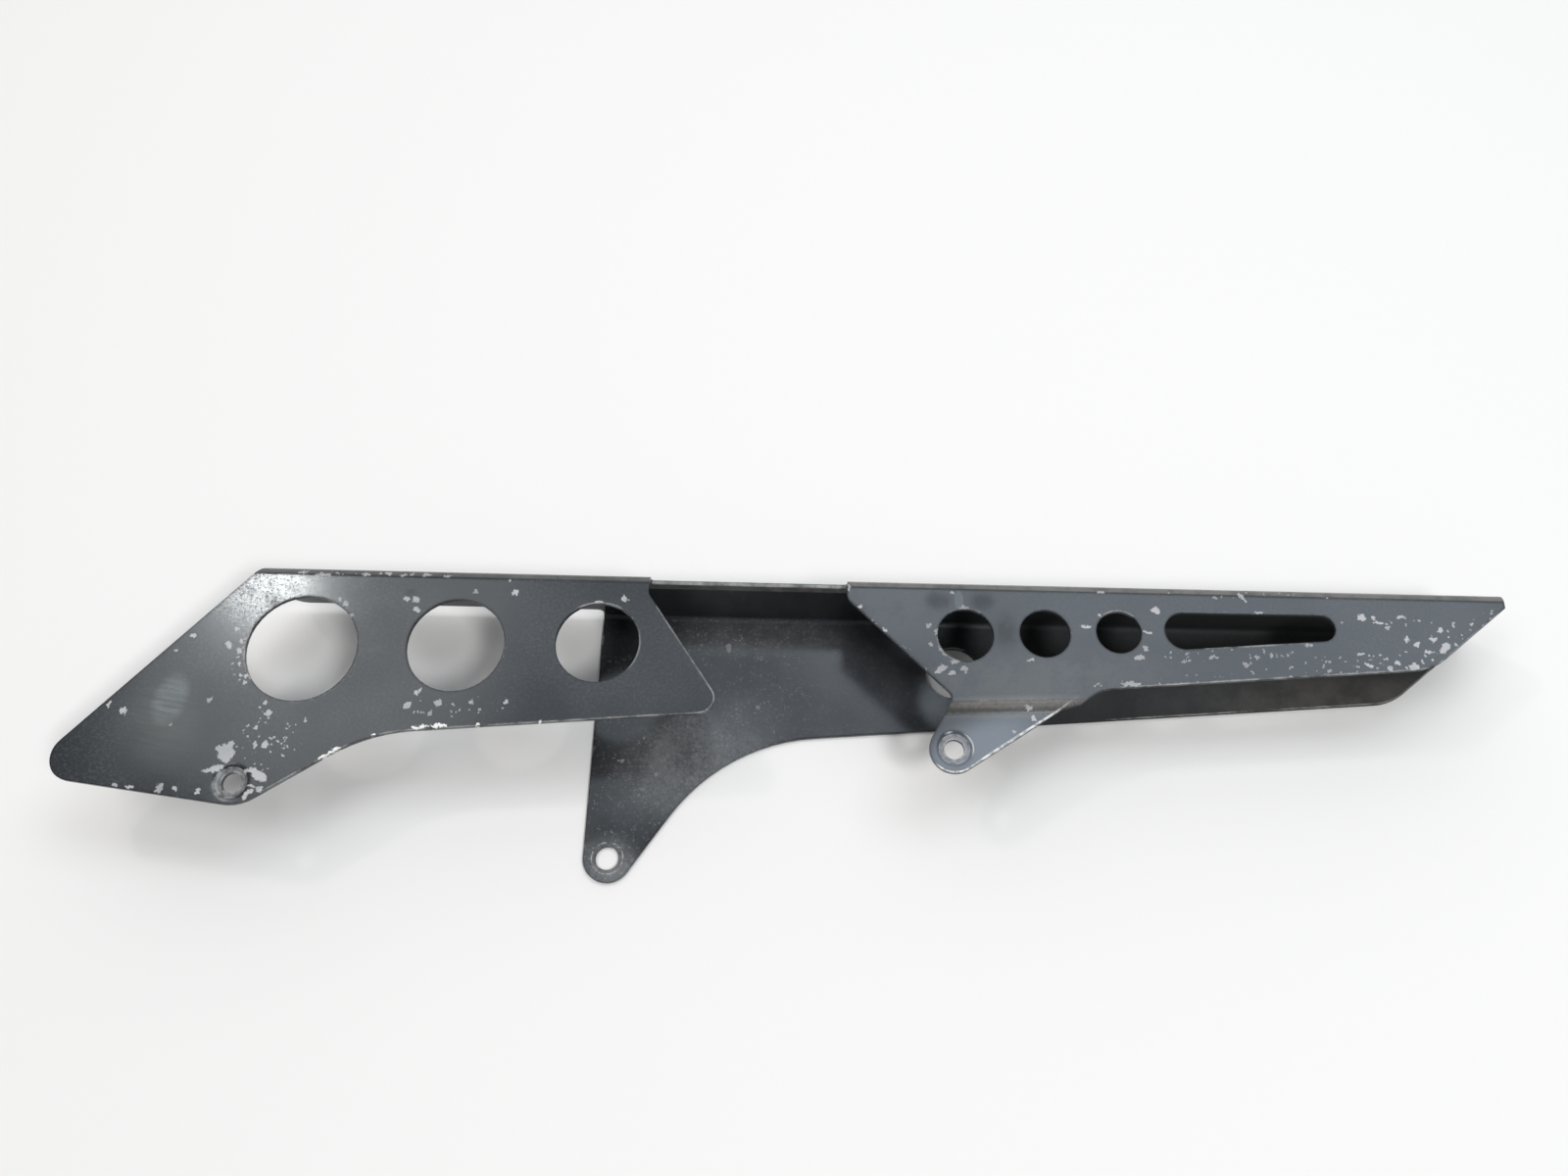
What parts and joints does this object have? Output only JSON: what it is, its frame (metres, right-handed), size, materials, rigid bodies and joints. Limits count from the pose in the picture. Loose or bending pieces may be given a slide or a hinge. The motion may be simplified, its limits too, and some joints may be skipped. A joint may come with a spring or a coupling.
{
  "type": "motorcycle chain guard",
  "caption": "Folded sheet guard that covers the upper run of a motorcycle's drive chain: a tapering U channel with lightening holes, an open window and bolt tabs.",
  "frame": {"origin": "centre of the bolt hole in the inner plate's tab, on the underside of the sheet", "axes": "+X along the spine to the narrow rear end, +Y from the open lower edge to the spine, +Z from the inner plate to the outer plates; the guard lies on its inner plate"},
  "size_m": [0.5097, 0.1052, 0.0386],
  "materials": {
    "paint": "satin black paint, worn and chipped"
  },
  "bodies": {
    "root": {"chain_guard": "paint"}
  },
  "joints": []
}
